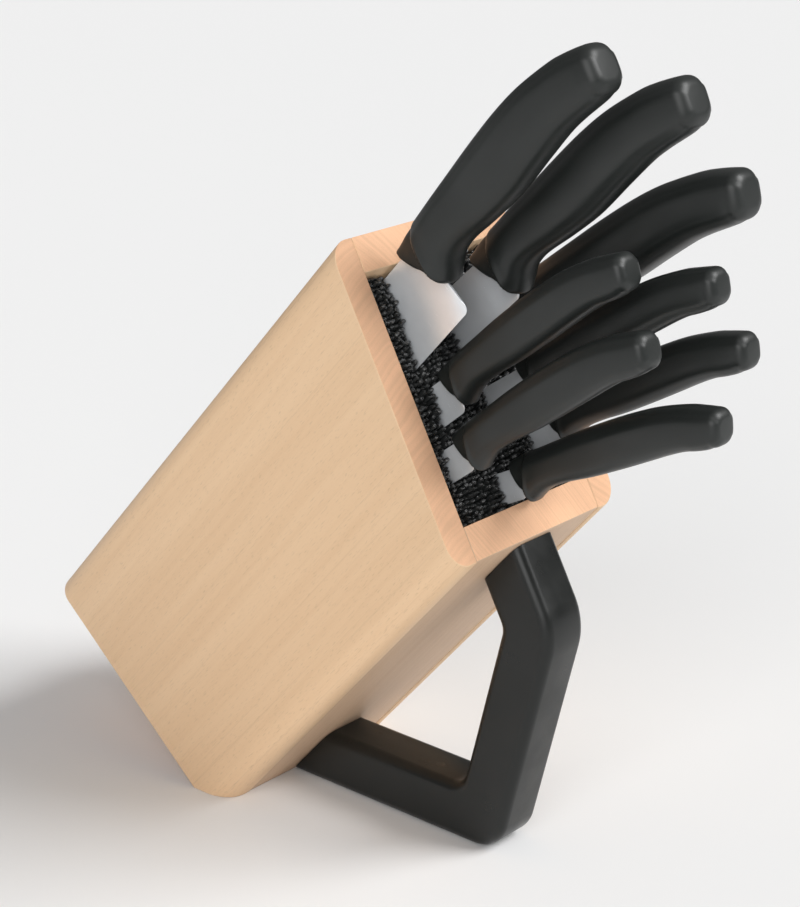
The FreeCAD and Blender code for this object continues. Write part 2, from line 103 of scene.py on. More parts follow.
class BlockSizes(bpy.types.PropertyGroup):
    """Sizes of the box, the filaments and the stand"""

    under_length: length_prop("Underside length", 200.0, "Length of the underside")
    width: length_prop("Width", 110.0, "Width across the side panels")
    height: length_prop("Height", 128.0, "From the underside to the top panel's face")
    wall: length_prop("Wall", 14.0, "Thickness of the boards")
    edge_round: length_prop("Edge rounding", 10.0, "Radius of the long outer edges")
    board_edge: length_prop("Board edge", 0.55, "Bevel on the sharp edges of the boards")
    underside_inset: length_prop("Underside inset", 0.3, "Underside board above its neighbours")
    rim_slant: bpy.props.FloatProperty(
        name="Rim slant", description="Angle of the rim from square", default=math.radians(20.0),
        subtype="ANGLE",
    )
    lean: bpy.props.FloatProperty(
        name="Lean", description="Angle between the underside and the floor",
        default=math.radians(50.0), subtype="ANGLE",
    )
    floor_cut: length_prop("Floor cut", 10.0, "Height of the corner taken off at the floor")
    recess_high: length_prop("Upper recess", 3.4, "Depth of the filament ends below the rim, at the top")
    recess_low: length_prop("Lower recess", 8.2, "Depth of the filament ends below the rim, low down")
    filament_pitch: length_prop("Filament pitch", 2.15, "Distance between filaments")
    filament_radius: length_prop("Filament radius", 1.04, "Radius of one filament")
    stand_width: length_prop("Stand width", 25.6, "Width of the stand")
    stand_band: length_prop("Stand band", 25.0, "Thickness of the stand's band")
    stand_reach: length_prop("Stand reach", 114.6, "From the block's heel to the stand's toe")
    riser_lean: bpy.props.FloatProperty(
        name="Riser lean", description="Lean of the stand's riser", default=math.radians(12.4),
        subtype="ANGLE",
    )
    stand_setback: length_prop("Stand setback", 2.8, "From the rim's plane to the top arm")
    stand_toe_round: length_prop("Stand toe rounding", 16.0, "Outer radius at the toe")
    stand_bend_round: length_prop("Stand bend rounding", 30.0, "Outer radius at the upper bend")
    stand_inner_round: length_prop("Stand inner rounding", 8.0, "Radius of both inner corners")
    stand_edge: length_prop("Stand edge", 4.6, "Bevel along the stand's edges")


class Finishes(bpy.types.PropertyGroup):
    """Colours of the block's materials"""

    beech_light: colour_prop("Beech, light", (0.86, 0.608, 0.385), "Pale ground of the beech")
    beech_dark: colour_prop("Beech, dark", (0.72, 0.46, 0.26), "Darker growth of the beech")
    beech_end: colour_prop("Beech end grain", (0.76, 0.455, 0.278), "Cut ends of the beech")
    # The underside board's darker, bluer tone is painted shade, not a different wood.
    underside_painted_shade: colour_prop("Underside tone", (0.76, 0.76, 0.82), "Tone of the underside board")
    filament: colour_prop("Filaments", (0.017, 0.018, 0.018), "Black filaments")
    handle: colour_prop("Handles", (0.014, 0.0165, 0.0155), "Black handle plastic")
    stand: colour_prop("Stand", (0.0075, 0.0085, 0.0078), "Black stand plastic")
    steel: colour_prop("Blade steel", (0.93, 0.965, 1.0), "Satin stainless steel")
    floor: colour_prop("Floor", (0.84, 0.84, 0.84), "Pale studio floor")


def sizes():
    return bpy.context.scene.knife_block_sizes


def finishes():
    return bpy.context.scene.knife_block_finishes


# ---------------------------------------------------------------- placing

def block_matrix(along=0.0, across=0.0, up=0.0, turn=0.0):
    """Frame on the leaning block: x along it, y across from its middle plane, z up from its
    underside, in metres. turn leans the frame's x back towards the underside."""
    size = sizes()
    lean = size.lean
    tilt = Matrix.Rotation(-lean, 4, "Y")
    heel_run = size.floor_cut / math.tan(lean)
    base = Vector((-heel_run - size.stand_reach / 2.0, 0.0, -size.floor_cut))
    place = base + tilt @ Vector((along, across, up))
    return Matrix.Translation(place) @ Matrix.Rotation(turn - lean, 4, "Y")


def rim_at(up):
    return sizes().under_length + math.tan(sizes().rim_slant) * up


def knife_turn(name):
    """Angle from the block's length down to a knife's slide, read from its joint."""
    joint = [item for item in frame["joints"] if item["name"] == name + "_slide"][0]
    return sizes().lean - math.atan2(joint["axis"][2], joint["axis"][0])


def knife_matrix(name, across, along, up):
    """Frame of a knife: x out along its slide, z towards its spine."""
    middle = sizes().width / 2.0
    return block_matrix(along * MM, across * MM - middle, up * MM, knife_turn(name))


# ---------------------------------------------------------------- node trees


class Wire:
    """One socket of a material's node tree. Arithmetic on it adds Math nodes."""

    def __init__(self, tree, socket):
        self.tree = tree
        self.socket = socket

    def math(self, operation, *values):
        inputs = dict(enumerate(values))
        return self.tree.add("ShaderNodeMath", {"operation": operation}, inputs)

    def __add__(self, other):
        return self.math("ADD", self, other)

    __radd__ = __add__

    def __sub__(self, other):
        return self.math("SUBTRACT", self, other)

    def __rsub__(self, other):
        return self.math("SUBTRACT", other, self)

    def __mul__(self, other):
        return self.math("MULTIPLY", self, other)

    __rmul__ = __mul__

    def eased(self, low, high):
        """0 at low, 1 at high, smooth between."""
        values = {"Value": self, "From Min": low, "From Max": high}
        settings = {"clamp": True, "interpolation_type": "SMOOTHSTEP"}
        return self.tree.add("ShaderNodeMapRange", settings, values)


class Tree:
    """A material's nodes around one Principled shader."""

    def __init__(self, name, **constants):
        self.material = bpy.data.materials.new(name)
        self.material.use_nodes = True
        self.nodes = self.material.node_tree.nodes
        self.links = self.material.node_tree.links
        self.shader = self.nodes["Principled BSDF"]
        for socket, value in constants.items():
            self.shader.inputs[socket.replace("_", " ")].default_value = value

    def add(self, kind, settings=None, values=None, output=0):
        """New node of a kind: its settings first, then the values or wires of its sockets."""
        node = self.nodes.new(kind)
        for key, value in (settings or {}).items():
            setattr(node, key, value)
        for key, value in (values or {}).items():
            if isinstance(value, Wire):
                self.links.new(value.socket, node.inputs[key])
            else:
                node.inputs[key].default_value = value
        return Wire(self, node.outputs[output])

    def feed(self, socket, wire):
        self.links.new(wire.socket, self.shader.inputs[socket])

    def place(self):
        """The piece's own coordinates in millimetres, as three numbers."""
        settings = {"attribute_type": "GEOMETRY", "attribute_name": "own_place"}
        spot = self.add("ShaderNodeAttribute", settings, output="Vector")
        scaled = self.add("ShaderNodeVectorMath", {"operation": "SCALE"}, {0: spot, 3: 1.0 / MM})
        return [self.add("ShaderNodeSeparateXYZ", None, {0: scaled}, n) for n in range(3)]

    def vector(self, x, y, z):
        return self.add("ShaderNodeCombineXYZ", None, {0: x, 1: y, 2: z})

    def noise(self, x, y, z, detail=2.0, rough=0.5):
        """Smooth random value, about 0.5 on average."""
        spot = self.vector(x, y, z)
        values = {"Vector": spot, "Scale": 1.0, "Detail": detail, "Roughness": rough}
        return self.add("ShaderNodeTexNoise", None, values)

    def mix(self, factor, first, second):
        """Colour between two, each a colour or a wire."""
        full = [
            value if isinstance(value, Wire) else (*value, 1.0) for value in (first, second)
        ]
        values = {0: factor, 6: full[0], 7: full[1]}
        return self.add("ShaderNodeMix", {"data_type": "RGBA"}, values, 2)

    def bump(self, height, strength, distance):
        """Bump from a height of about 0 to 1, distance in metres."""
        values = {"Height": height, "Strength": strength, "Distance": distance}
        return self.add("ShaderNodeBump", None, values)


# In the materials x, y and z are millimetres in the piece's own frame. The factors on them are the
# pattern's waves per millimetre, and "eased" spreads the useful part of a pattern over 0 to 1.


def shade(colour, amount):
    """A colour made lighter or darker by a factor."""
    return tuple(min(1.0, part * amount) for part in colour)


def beech(name, shift, turned, tone):
    """Beech along the board, or across it if turned: soft growth streaks, fine dark flecks, a
    closed satin surface. shift moves the pattern, so that no two boards match."""
    # tone darkens both colours of the grain; on the underside board this is painted shade.
    light = tuple(part * amount for part, amount in zip(finishes().beech_light, tone))
    dark = tuple(part * amount for part, amount in zip(finishes().beech_dark, tone))
    tree = Tree(name, Specular_IOR_Level=0.42, IOR=1.46)
    x, y, z = tree.place()
    x, y, z = x + shift, y + shift * 0.37, z - shift * 0.61
    if turned:
        x, z = z, x
    wander = tree.noise(x * 0.006, y * 0.02, z * 0.02, 2.0) * 6.0
    broad = tree.noise(x * 0.0035, y * 0.05 + wander * 0.05, z * 0.05 + wander * 0.05, 3.0)
    growth = tree.noise(x * 0.007, y * 0.34 + wander * 0.3, z * 0.34 + wander * 0.3, 3.0, 0.55)
    fine = tree.noise(x * 0.05, y * 2.6, z * 2.6, 2.0, 0.6)
    flecks = tree.noise(x * 0.30, y * 2.3, z * 2.3, 1.0, 0.4).eased(0.60, 0.72)
    streaks = tree.noise(x * 0.004 + 5.0, y * 0.85, z * 0.85, 1.0).eased(0.66, 0.76)
    depth = broad.eased(0.30, 0.72) * 0.24 + growth.eased(0.30, 0.75) * 0.24
    ground = tree.mix(depth, light, dark)
    ground = tree.mix(fine.eased(0.35, 0.7) * 0.16, ground, shade(light, 1.08))
    ground = tree.mix(streaks * 0.14, ground, shade(dark, 0.72))
    ground = tree.mix(flecks * 0.24, ground, shade(dark, 0.62))
    tree.feed("Base Color", ground)
    tree.feed("Roughness", 0.46 + growth * 0.16 - flecks * 0.06)
    relief = fine * 0.5 + growth * 0.3 - flecks * 0.6
    tree.feed("Normal", tree.bump(relief, 0.16, 0.0003))
    return tree.material


def beech_end(name, shift):
    """Cut ends of the beech: redder, with faint curved growth rings, rays and pores, and a short
    dark slit where the underside board meets a side board."""
    base = tuple(finishes().beech_end)
    tree = Tree(name, Specular_IOR_Level=0.35, IOR=1.46)
    x, raw_y, raw_z = tree.place()
    y, z = raw_y + shift, raw_z + shift * 0.7
    bow = (y * y) * 0.004 + tree.noise(x * 0.01, y * 0.03, z * 0.03, 2.0) * 9.0
    rings = tree.noise(0.0, 0.0, (z + bow) * 0.42, 2.0)
    rays = tree.noise(x * 0.1, y * 1.9, z * 0.16, 2.0, 0.6)
    pores = tree.noise(x * 0.6, y * 3.2, z * 3.2, 1.0, 0.5).eased(0.58, 0.74)
    broad = tree.noise(x * 0.02, y * 0.05, z * 0.05, 2.0)
    tone = rings.eased(0.32, 0.70) * 0.45 + broad.eased(0.35, 0.7) * 0.3
    ground = tree.mix(tone, shade(base, 1.16), shade(base, 0.86))
    ground = tree.mix(rays.eased(0.5, 0.75) * 0.14, ground, shade(base, 1.2))
    ground = tree.mix(pores * 0.28, ground, shade(base, 0.6))
    joint = (sizes().width / 2.0 - sizes().wall) / MM
    off_joint = (raw_y * raw_y - joint * joint) * (0.5 / joint)
    slit = (1.0 - (off_joint * off_joint).eased(0.01, 0.10)) * (1.0 - raw_z.eased(4.0, 5.5))
    ground = tree.mix(slit * 0.85, ground, shade(base, 0.22))
    tree.feed("Base Color", ground)
    tree.feed("Roughness", 0.56 + rings * 0.14)
    tree.feed("Normal", tree.bump(rays * 0.4 - pores * 0.7, 0.2, 0.0003))
    return tree.material


def filament_black(name):
    """Extruded black filaments, some shinier than others, with cut ends."""
    base = tuple(finishes().filament)
    tree = Tree(name, Specular_IOR_Level=0.9, IOR=1.55)
    x, y, z = tree.place()
    each = tree.noise(x * 0.02, y * 0.8, z * 0.8, 2.0)
    scuff = tree.noise(x * 0.7, y * 2.0, z * 2.0, 3.0, 0.6)
    tree.feed("Base Color", tree.mix(each, shade(base, 0.6), shade(base, 2.4)))
    tree.feed("Roughness", 0.09 + each.eased(0.35, 0.65) * 0.22 + scuff * 0.10)
    tree.feed("Normal", tree.bump(scuff, 0.6, 0.0005))
    return tree.material


def moulded_black(name, base, gloss, grain, shine):
    """Black moulded plastic with a fine spark-eroded texture, rubbed smoother here and there."""
    tree = Tree(name, Specular_IOR_Level=shine, IOR=1.5)
    x, y, z = tree.place()
    pits = tree.noise(x * 2.4, y * 2.4, z * 2.4, 3.0, 0.65)
    rubbed = tree.noise(x * 0.035, y * 0.05, z * 0.05, 3.0, 0.55)
    dust = tree.noise(x * 0.6, y * 0.6, z * 0.6, 4.0, 0.7).eased(0.62, 0.8)
    tree.feed("Base Color", tree.mix(dust * 0.35, base, shade(base, 2.0)))
    tree.feed("Roughness", gloss + rubbed.eased(0.3, 0.7) * 0.12 + pits * 0.05)
    tree.feed("Normal", tree.bump(pits, grain, 0.0002))
    return tree.material


def ground_steel(name):
    """Satin stainless blade: fine grinding lines from spine to edge, faint water marks."""
    base = tuple(finishes().steel)
    tree = Tree(name, Metallic=0.42, Specular_IOR_Level=0.9)
    x, y, z = tree.place()
    lines = tree.noise(x * 9.0, y * 2.0, z * 0.05, 3.0, 0.7)
    bands = tree.noise(x * 0.9, y * 0.5, z * 0.03, 2.0, 0.5)
    marks = tree.noise(x * 0.12, y * 0.12, z * 0.12, 4.0, 0.6)
    tree.feed("Base Color", tree.mix(marks.eased(0.3, 0.8) * 0.3, base, shade(base, 0.84)))
    tree.feed("Roughness", 0.13 + lines * 0.10 + bands * 0.05 + marks * 0.08)
    tree.feed("Normal", tree.bump(lines + bands * 0.5, 0.05, 0.0001))
    return tree.material


def zinc(name):
    """Zinc-plated screws: bright, slightly clouded."""
    tree = Tree(name, Metallic=1.0)
    x, y, z = tree.place()
    cloud = tree.noise(x * 0.5, y * 0.5, z * 0.5, 3.0)
    tree.feed("Base Color", tree.mix(cloud, (0.62, 0.62, 0.60), (0.45, 0.46, 0.47)))
    tree.feed("Roughness", 0.28 + cloud * 0.2)
    return tree.material


# ---------------------------------------------------------------- meshes


def keep_place(mesh):
    """Store each point's place in the piece's own frame, which its material reads."""
    spots = [0.0] * (3 * len(mesh.vertices))
    mesh.vertices.foreach_get("co", spots)
    own = mesh.attributes.new("own_place", "FLOAT_VECTOR", "POINT")
    own.data.foreach_set("vector", spots)


def piece_from(name, bm, materials, matrix, body, replaced=(), angle=35.0):
    """Finished piece: smooth except at sharp edges, placed, riding and in its slot."""
    bmesh.ops.recalc_face_normals(bm, faces=bm.faces)
    mesh = bpy.data.meshes.new(name)
    bm.to_mesh(mesh)
    bm.free()
    keep_place(mesh)
    mesh.transform(matrix)
    for face in mesh.polygons:
        face.use_smooth = True
    mesh.set_sharp_from_angle(angle=math.radians(angle))
    for material in materials:
        mesh.materials.append(material)
    piece = bpy.data.objects.new(name, mesh)
    bpy.context.collection.objects.link(piece)
    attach(piece, body)
    if replaced:
        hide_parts(*replaced)
    return piece


def bridge(bm, rings):
    """Faces between each closed ring of points and the next."""
    for first, second in zip(rings, rings[1:]):
        for index in range(len(first)):
            following = (index + 1) % len(first)
            bm.faces.new((first[index], first[following], second[following], second[index]))


def arc_points(centre, radius, start, end, count=12):
    """Points of an arc about a centre, angles in degrees."""
    points = []
    for step in range(count + 1):
        angle = math.radians(start + (end - start) * step / count)
        points.append((centre[0] + radius * math.cos(angle), centre[1] + radius * math.sin(angle)))
    return points


def board_profile(low_across, high_across, low_up, high_up, round_side):
    """Section of a board across the block. round_side -1 or 1 rounds both corners on that side."""
    radius = sizes().edge_round
    if round_side == 0:
        return [
            (low_across, low_up), (high_across, low_up), (high_across, high_up),
            (low_across, high_up),
        ]
    if round_side > 0:
        return (
            [(low_across, low_up)]
            + arc_points((high_across - radius, low_up + radius), radius, -90, 0)
            + arc_points((high_across - radius, high_up - radius), radius, 0, 90)
            + [(low_across, high_up)]
        )
    return (
        [(high_across, high_up)]
        + arc_points((low_across + radius, high_up - radius), radius, 90, 180)
        + arc_points((low_across + radius, low_up + radius), radius, 180, 270)
        + [(high_across, low_up)]
    )


def board(profile, end_at):
    """Board along the block with a section, up to end_at(up), its edges eased and its lower
    corner cut level with the floor. Faces square to the grain get the second material."""
    bm = bmesh.new()
    rings = [
        [bm.verts.new((end_at(up) if end else 0.0, across, up)) for across, up in profile]
        for end in (False, True)
    ]
    bm.faces.new(rings[0])
    bm.faces.new(rings[1])
    bridge(bm, rings)
    bmesh.ops.recalc_face_normals(bm, faces=bm.faces)
    lean = sizes().lean
    floor_at = Vector((sizes().floor_cut / math.sin(lean), 0.0, 0.0))
    down = Vector((-math.sin(lean), 0.0, -math.cos(lean)))
    bmesh.ops.bisect_plane(
        bm, geom=bm.verts[:] + bm.edges[:] + bm.faces[:], plane_co=floor_at, plane_no=down,
        clear_outer=True,
    )
    open_edges = [edge for edge in bm.edges if edge.is_boundary]
    if open_edges:
        bmesh.ops.contextual_create(bm, geom=open_edges)
    bmesh.ops.recalc_face_normals(bm, faces=bm.faces)
    sharp = [edge for edge in bm.edges if edge.calc_face_angle(0.0) > math.radians(38.0)]
    bmesh.ops.bevel(
        bm, geom=sharp, offset=sizes().board_edge, offset_type="OFFSET", segments=3, profile=0.5,
        affect="EDGES", clamp_overlap=True,
    )
    for face in bm.faces:
        face.material_index = 1 if abs(face.normal.x) > 0.75 else 0
    return bm


class BoardsOperator(bpy.types.Operator):
    """Build the five beech boards of the glued box"""

    bl_idname = "knife_block.boards"
    bl_label = "Beech boards"

    def execute(self, context):
        size = sizes()
        half = size.width / 2.0
        inner = half - size.wall
        top = size.height
        plans = (
            ("near_side_board", "side_panel_near", (-half, -inner, 0.0, top, -1), rim_at),
            ("far_side_board", "side_panel_far", (inner, half, 0.0, top, 1), rim_at),
            ("top_board", "top_panel", (-inner, inner, top - size.wall, top, 0), rim_at),
            (
                "underside_board", "underside_panel",
                (-inner, inner, size.underside_inset, size.wall, 0), rim_at,
            ),
            (
                "lower_end_board", "end_panel",
                (-inner, inner, size.wall, top - size.wall, 0), lambda up: size.wall,
            ),
        )
        # Painted shade: the underside board's beech colours are darkened, the other boards keep theirs.
        painted_shades = {"underside_board": tuple(finishes().underside_painted_shade)}
        for number, (name, node, section, end_at) in enumerate(plans):
            bm = board(board_profile(*section), end_at)
            turned = name == "lower_end_board"
            tone = painted_shades.get(name, (1.0, 1.0, 1.0))
            materials = [
                beech("beech_" + name, 137.0 * number + 11.0, turned, tone),
                beech_end("beech_ends_" + name, 91.0 * number + 5.0),
            ]
            piece_from(name, bm, materials, block_matrix(), "block", (node,))
        return {"FINISHED"}


# ---------------------------------------------------------------- filaments


FILAMENT_SIDES = 7
WANDER = 0.16  # how far a filament stands off its place in the grid, in millimetres
WALL_GAP = 0.25
BLADE_GAP = 0.06
IN_THE_WAY = 0.30  # filaments this close to a blade's face are left out, not drawn aside
SWELL = 1.6
SPREAD = 0.7


def blade_zones():
    """For each blade: its plane across the block, half its thickness, and the heights between
    which filaments stand beside it."""
    middle = sizes().width / MM / 2.0
    zones = []
    for name, kind, across, along, up, length, deep, heel, belly, tip, drop, thick in KNIVES:
        rise = length * math.sin(knife_turn(name))
        low = min(up - deep, up + rise - deep * 0.6)
        zones.append((across - middle, thick / 2.0, low - 1.0, up + rise + 1.0))
    return zones


def filament_places():
    """Across and up of every filament, in millimetres, drawn aside from the blades."""
    size = sizes()
    pitch = size.filament_pitch / MM
    radius = size.filament_radius / MM
    half = size.width / MM / 2.0 - size.wall / MM - radius - WALL_GAP
    low = size.wall / MM + radius + WALL_GAP
    high = (size.height - size.wall) / MM - radius - WALL_GAP
    rows = int((high - low) / (pitch * math.cos(math.radians(30.0))))
    rise = (high - low) / rows
    dice = random.Random(4)
    zones = blade_zones()
    places = []
    for row in range(rows + 1):
        columns = int(2.0 * half / pitch)
        step = 2.0 * half / columns
        for column in range(columns + 1):
            across = -half + step * (column + (0.5 if row % 2 else 0.0))
            if across > half:
                continue
            up = low + rise * row
            across += dice.uniform(-WANDER, WANDER)
            up += dice.uniform(-WANDER, WANDER)
            keep = True
            for plane, thickness, bottom, top in zones:
                gap = across - plane
                clear = thickness + radius + BLADE_GAP
                if bottom <= up <= top and abs(gap) < clear:
                    if abs(gap) < thickness + IN_THE_WAY:
                        keep = False
                        break
                    across = plane + math.copysign(clear, gap)
            if keep:
                across = max(-half, min(half, across))
                up = max(low, min(high, up))
                places.append((across, up))
    return places


class FilamentsOperator(bpy.types.Operator):
    """Build the bundle of black filaments that holds the blades"""

    bl_idname = "knife_block.filaments"
    bl_label = "Filaments"

    def execute(self, context):
        size = sizes()
        dice = random.Random(11)
        radius = size.filament_radius / MM
        bottom = size.wall / MM + 0.6
        bm = bmesh.new()
        for across, up in filament_places():
            share = eased(up, size.wall / MM, (size.height - size.wall) / MM)
            recess = size.recess_low + (size.recess_high - size.recess_low) * share
            top = rim_at(up * MM) / MM - recess / MM / math.cos(size.rim_slant)
            swell = noise.noise(Vector((across * 0.09, up * 0.09, 3.0))) * SWELL
            clump = noise.noise(Vector((across * 0.30, up * 0.30, 9.0))) * SWELL
            top += swell + clump + dice.uniform(-1.1, 1.1)
            lean_across = noise.noise(Vector((across * 0.25, up * 0.25, 21.0))) * SPREAD
            lean_up = noise.noise(Vector((across * 0.25, up * 0.25, 33.0))) * SPREAD
            thick = radius * dice.uniform(0.86, 1.04)
            twist = dice.uniform(0.0, math.pi)
            tilt_across, tilt_up = dice.uniform(-0.7, 0.7), dice.uniform(-1.0, 0.3)
            rings = []
            # Each ring: its place along the filament, its share of the radius and of the lean.
            for level, girth, lean in (
                (bottom, 1.0, 0.0), (top - 9.0, 1.0, 0.0), (top - 0.75, 1.0, 1.0),
                (top - 0.22, 0.86, 1.05), (top, 0.52, 1.1),
            ):
                ring = []
                for side in range(FILAMENT_SIDES):
                    angle = twist + 2.0 * math.pi * side / FILAMENT_SIDES
                    reach_across = thick * girth * math.cos(angle)
                    reach_up = thick * girth * math.sin(angle)
                    slope = reach_across * tilt_across + reach_up * tilt_up if lean else 0.0
                    ring.append(bm.verts.new((
                        (level + slope) * MM,
                        (across + lean_across * lean + reach_across) * MM,
                        (up + lean_up * lean + reach_up) * MM,
                    )))
                rings.append(ring)
            bridge(bm, rings)
            bm.faces.new(rings[-1])
            bm.faces.new(rings[0][::-1])
        piece_from(
            "filament_bundle", bm, [filament_black("filament_black")], block_matrix(), "block",
            ("bristle_bundle",), 50.0,
        )
        return {"FINISHED"}


# ---------------------------------------------------------------- stand


def rounded_path(corners, count=14):
    """Closed outline with rounded corners. Each corner is (x, z, radius)."""
    points = []
    total = len(corners)
    for index, (x, z, radius) in enumerate(corners):
        here = Vector((x, z))
        before = Vector(corners[index - 1][:2])
        after = Vector(corners[(index + 1) % total][:2])
        if radius <= 0.0:
            points.append((x, z))
            continue
        back = (before - here).normalized()
        ahead = (after - here).normalized()
        half = back.angle(ahead) / 2.0
        reach = radius / math.tan(half)
        centre = here + (back + ahead).normalized() * radius / math.sin(half)
        first = here + back * reach - centre
        last = here + ahead * reach - centre
        turn = first.angle_signed(last)
        for step in range(count + 1):
            angle = -turn * step / count
            spun = Vector((
                first.x * math.cos(angle) - first.y * math.sin(angle),
                first.x * math.sin(angle) + first.y * math.cos(angle),
            ))
            points.append(tuple(centre + spun))
    return points


def stand_outline():
    """Side view of the stand in the standing frame, from the block's heel, in metres."""
    size = sizes()
    riser = math.tan(size.riser_lean)
    arm_lean = size.lean - size.rim_slant
    arm = math.tan(arm_lean)
    band = size.stand_band
    reach = size.stand_reach
    along = (
        size.under_length - size.floor_cut / math.sin(size.lean)
        - size.stand_setback / math.cos(size.rim_slant)
    )
    top_x, top_z = along * math.cos(size.lean), along * math.sin(size.lean)

    def meeting(foot_x, foot_z, arm_x):
        height = (arm_x - foot_x + top_z * arm + foot_z * riser) / (riser + arm)
        return foot_x + (height - foot_z) * riser, height

    inner_foot = reach + band * riser - band / math.cos(size.riser_lean)
    inner_top = top_x - band / math.cos(arm_lean)
    bend = meeting(reach, 0.0, top_x)
    inner_bend = meeting(inner_foot, band, inner_top)
    over = 3.0 * band
    past_z = top_z + over * math.cos(arm_lean)
    return [
        (-over, 0.0, 0.0),
        (reach, 0.0, size.stand_toe_round),
        (*bend, size.stand_bend_round),
        (top_x - over * math.sin(arm_lean), past_z, 0.0),
        (inner_top - over * math.sin(arm_lean), past_z, 0.0),
        (*inner_bend, size.stand_inner_round),
        (inner_foot, band, size.stand_inner_round),
        (-over, band, 0.0),
    ]


class StandOperator(bpy.types.Operator):
    """Build the moulded stand under the block"""

    bl_idname = "knife_block.stand"
    bl_label = "Stand"

    def execute(self, context):
        size = sizes()
        side = size.stand_width / 2.0
        outline = rounded_path(stand_outline())
        bm = bmesh.new()
        rings = [
            [bm.verts.new((x, across, z)) for x, z in outline] for across in (-side, side)
        ]
        bm.faces.new(rings[0])
        bm.faces.new(rings[1])
        bridge(bm, rings)
        bmesh.ops.recalc_face_normals(bm, faces=bm.faces)
        rims = [
            edge for edge in bm.edges
            if abs(edge.verts[0].co.y - edge.verts[1].co.y) < FLAT
        ]
        bmesh.ops.bevel(
            bm, geom=rims, offset=size.stand_edge, offset_type="OFFSET", segments=8, profile=0.5,
            affect="EDGES", clamp_overlap=True,
        )
        lean = size.lean
        bmesh.ops.bisect_plane(
            bm, geom=bm.verts[:] + bm.edges[:] + bm.faces[:], plane_co=(0.0, 0.0, 0.0),
            plane_no=(-math.sin(lean), 0.0, math.cos(lean)), clear_outer=True,
        )
        open_edges = [edge for edge in bm.edges if edge.is_boundary]
        bmesh.ops.holes_fill(bm, edges=open_edges, sides=0)
        base = Matrix.Translation((-size.stand_reach / 2.0, 0.0, 0.0))
        material = moulded_black("stand_black", tuple(finishes().stand), 0.25, 0.06, 0.42)
        piece_from(
            "stand_moulding", bm, [material], base, "block", ("stand",), 40.0
        )
        return {"FINISHED"}


class ScrewsOperator(bpy.types.Operator):
    """Finish the four screws that hold the stand"""

    bl_idname = "knife_block.screws"
    bl_label = "Screws"

    def execute(self, context):
        screws = frame["nodes"]["stand_screws"]
        keep_place(screws.data)
        screws.data.materials.clear()
        screws.data.materials.append(zinc("zinc_plate"))
        return {"FINISHED"}


# ---------------------------------------------------------------- knives


def eased(value, low, high):
    share = min(1.0, max(0.0, (value - low) / (high - low)))
    return share * share * (3.0 - 2.0 * share)


def curve_through(points, value):
    """Smooth curve through (position, value) pairs, level-ended between neighbours' slopes."""
    last = len(points) - 1
    if value <= points[0][0]:
        return points[0][1]
    if value >= points[last][0]:
        return points[last][1]
    index = max(i for i in range(last) if points[i][0] <= value)

    def slope(i):
        low, high = max(0, i - 1), min(last, i + 1)
        return (points[high][1] - points[low][1]) / (points[high][0] - points[low][0])

    x0, y0 = points[index]
    x1, y1 = points[index + 1]
    width = x1 - x0
    t = (value - x0) / width
    first, second = slope(index) * width, slope(index + 1) * width
    return (
        (2 * t**3 - 3 * t**2 + 1) * y0 + (t**3 - 2 * t**2 + t) * first
        + (-2 * t**3 + 3 * t**2) * y1 + (t**3 - t**2) * second
    )


SPINE = -1.0  # the blade's spine lies this far below the knife's own line, in millimetres
HEEL_ROUND = 3.0
HEEL_STEPS = 6
BLADE_STATIONS = 60
# Levels of a blade's section from spine to edge, as shares of its depth there.
BLADE_LEVELS = (0.0, 0.05, 0.25, 0.5, 0.75, 0.93, 1.0)
GRIND = 0.72
HALF_EDGE = 0.03


def blade_sections(length, deep, heel, belly, tip, drop):
    """Stations of a blade from its heel to its tip: place along it, spine and edge."""
    stations = []
    for step in range(HEEL_STEPS + 1):
        angle = math.pi / 2.0 * step / HEEL_STEPS
        stations.append((
            heel - HEEL_ROUND * (1.0 - math.cos(angle)),
            SPINE,
            -deep + HEEL_ROUND * (1.0 - math.sin(angle)),
        ))
    straight = heel - HEEL_ROUND
    for step in range(1, BLADE_STATIONS + 1):
        place = straight - (length + straight) * step / BLADE_STATIONS
        spine = SPINE
        if -place > length - drop:
            share = (-place - (length - drop)) / drop
            spine = SPINE - (tip + SPINE) * share**2
        edge = -deep
        if -place > length - belly:
            share = (-place - (length - belly)) / belly
            edge = -deep + (deep - tip) * share**2
        stations.append((place, spine, edge))
    return stations


def blade_mesh(length, deep, heel, belly, tip, drop, thick):
    """Ground blade: full at the spine, thin at the edge and towards the tip, eased spine."""
    bm = bmesh.new()
    rings = []
    for place, spine, edge in blade_sections(length, deep, heel, belly, tip, drop):
        taper = 1.0 - 0.55 * eased(-place, length * 0.45, length)
        tall = spine - edge
        ring = []
        for side in (1.0, -1.0):
            for share in BLADE_LEVELS if side > 0 else BLADE_LEVELS[::-1]:
                half = thick / 2.0 * taper * (1.0 - GRIND * share)
                if share == 0.0:
                    half *= GRIND
                if share == 1.0:
                    half = HALF_EDGE
                level = spine - tall * share
                ring.append(bm.verts.new((place * MM, side * half * MM, level * MM)))
        rings.append(ring)
    bridge(bm, rings)
    bm.faces.new(rings[0])
    bm.faces.new(rings[-1][::-1])
    return bm


class BladesOperator(bpy.types.Operator):
    """Build the eight ground blades"""

    bl_idname = "knife_block.blades"
    bl_label = "Blades"

    def execute(self, context):
        steel = ground_steel("satin_steel")
        for name, kind, across, along, up, *blade in KNIVES:
            piece_from(
                name + "_ground_blade", blade_mesh(*blade), [steel],
                knife_matrix(name, across, along, up), name,
                (name + "_blade",), 25.0,
            )
        return {"FINISHED"}


